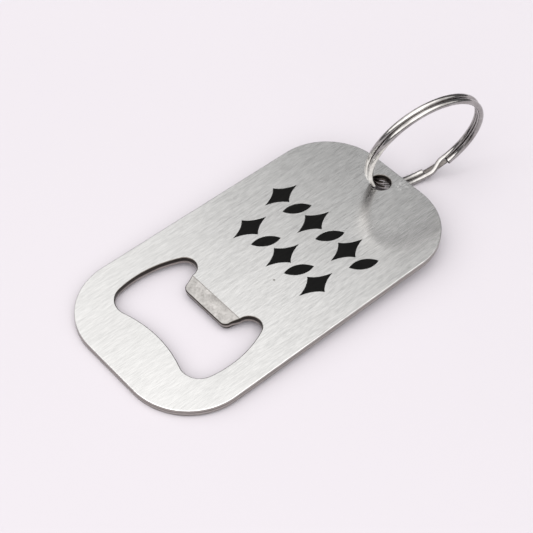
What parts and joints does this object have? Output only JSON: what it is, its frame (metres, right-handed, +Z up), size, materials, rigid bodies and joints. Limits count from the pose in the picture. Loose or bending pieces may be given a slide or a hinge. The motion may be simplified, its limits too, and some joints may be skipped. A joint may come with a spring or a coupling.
{
  "type": "keychain bottle opener",
  "caption": "Flat rounded steel bottle opener with a crown-cap opening and a bent pry tooth, hung on a split key ring through a hole at its other end.",
  "frame": {"origin": "middle of the bounding box in X and Y, on the table that the opener rests on", "axes": "+Y along the plate from the opener end towards the ring, +X across the plate, +Z up from the table; the plate is tilted 2.7 degrees about X because the ring passes under its end"},
  "size_m": [0.04, 0.092, 0.0271],
  "materials": {
    "opener_plate": "brushed along the plate's length, edges ground",
    "split_ring": "polished wire, dull where it is pressed flat at the crossing"
  },
  "bodies": {
    "opener_plate": {"opener_plate": "opener_plate"},
    "split_ring": {"split_ring": "split_ring"}
  },
  "joints": [
    {"name": "ring_swing", "type": "hinge", "parent": "opener_plate", "child": "split_ring", "pos_m": [-0.00125, 0.02421, 0.00412], "axis": [-0.9619, 0.2012, 0.1851], "range_deg": [0, 78]}
  ]
}
